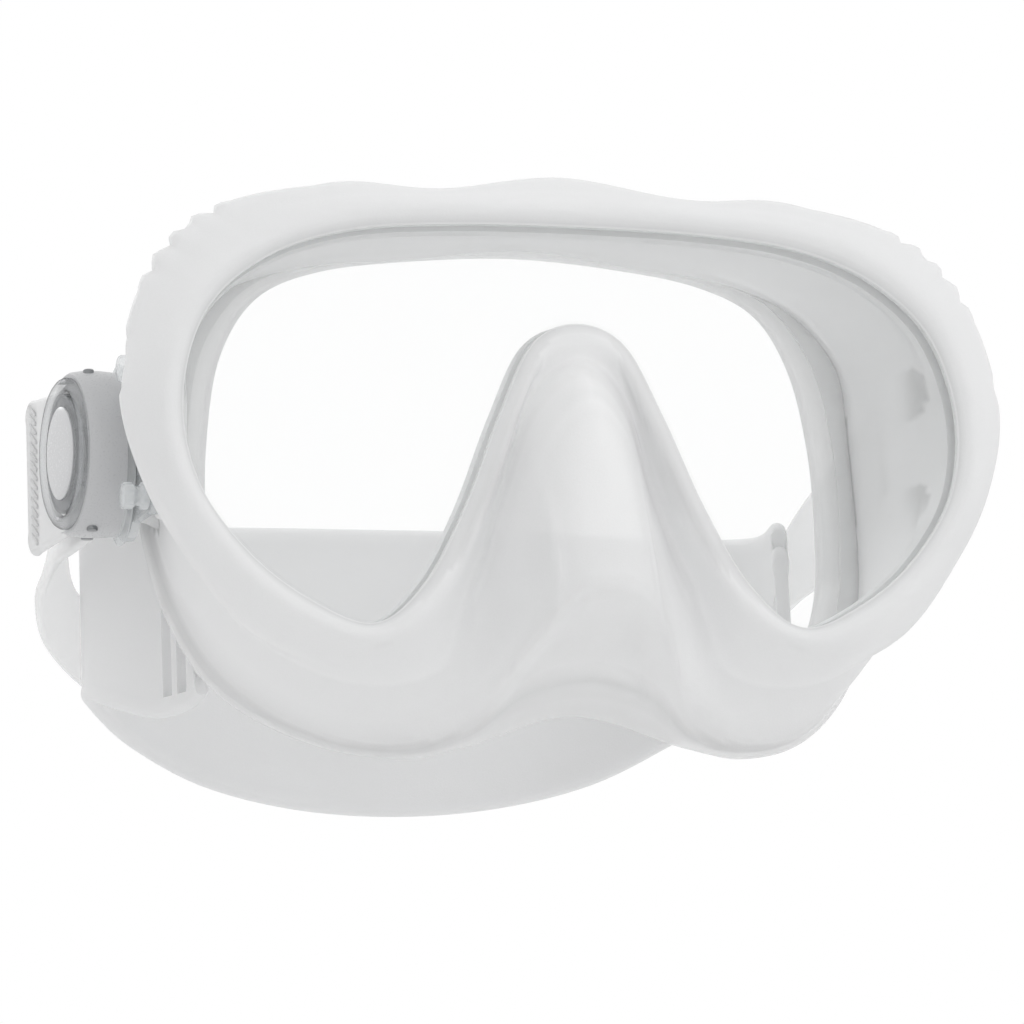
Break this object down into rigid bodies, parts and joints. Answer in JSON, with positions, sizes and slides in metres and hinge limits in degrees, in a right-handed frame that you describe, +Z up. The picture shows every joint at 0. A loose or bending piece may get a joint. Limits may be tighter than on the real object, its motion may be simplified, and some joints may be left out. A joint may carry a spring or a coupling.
{
  "type": "diving mask",
  "caption": "Frameless diving mask: one lens held in a frosted clear silicone skirt with a nose pocket, and a wide silicone strap on two swivelling clear buckles.",
  "frame": {"origin": "the middle of the face seal: on the mask's mid-plane, in the plane of the seal's edge at the temples", "axes": "+Z up as the mask is worn, +Y out of the mask towards the face and the back of the head (the lens faces -Y), +X to the side"},
  "size_m": [0.1818, 0.1383, 0.1066],
  "materials": {
    "frosted_silicone": "satin",
    "strap_silicone": "satin",
    "lens_glass": "polished",
    "clear_plastic": "polished",
    "white_plastic": "satin",
    "badge_grey": "satin",
    "steel": "brushed"
  },
  "bodies": {
    "mask": {"skirt": "frosted_silicone", "lens": "lens_glass", "left_lug_plate": "clear_plastic", "left_anchor_bracket": "clear_plastic", "left_anchor_studs": "clear_plastic", "left_swivel_post": "steel", "left_post_clip": "steel", "right_lug_plate": "clear_plastic", "right_anchor_bracket": "clear_plastic", "right_anchor_studs": "clear_plastic", "right_swivel_post": "steel", "right_post_clip": "steel"},
    "harness": {"strap": "strap_silicone", "left_buckle_base": "clear_plastic", "left_buckle_body": "white_plastic", "left_buckle_ring": "clear_plastic", "left_roller_axle": "steel", "left_lever_pin": "steel", "left_lever_springs": "steel", "right_buckle_base": "clear_plastic", "right_buckle_body": "white_plastic", "right_buckle_ring": "clear_plastic", "right_roller_axle": "steel", "right_lever_pin": "steel", "right_lever_springs": "steel"},
    "left_roller": {"left_roller": "white_plastic"},
    "left_lever": {"left_release_lever": "clear_plastic", "left_badge": "badge_grey"},
    "right_roller": {"right_roller": "white_plastic"},
    "right_lever": {"right_release_lever": "clear_plastic", "right_badge": "badge_grey"}
  },
  "joints": [
    {"name": "harness_swing", "type": "hinge", "parent": "mask", "child": "harness", "pos_m": [0, -0.008, -0.0033], "axis": [1, 0, 0], "range_deg": [-24, 78]},
    {"name": "left_roller_spin", "type": "hinge", "parent": "harness", "child": "left_roller", "pos_m": [-0.0839, -0.005, -0.0033], "axis": [0, 0, 1], "continuous": true},
    {"name": "left_lever_rock", "type": "hinge", "parent": "harness", "child": "left_lever", "pos_m": [-0.0844, -0.0116, -0.0033], "axis": [0, 0, 1], "range_deg": [0, 8], "stiffness_Nm_per_rad": 0.05, "springref_deg": -12.03},
    {"name": "right_roller_spin", "type": "hinge", "parent": "harness", "child": "right_roller", "pos_m": [0.0839, -0.005, -0.0033], "axis": [0, 0, 1], "continuous": true},
    {"name": "right_lever_rock", "type": "hinge", "parent": "harness", "child": "right_lever", "pos_m": [0.0844, -0.0116, -0.0033], "axis": [0, 0, -1], "range_deg": [0, 8], "stiffness_Nm_per_rad": 0.05, "springref_deg": -12.03}
  ]
}
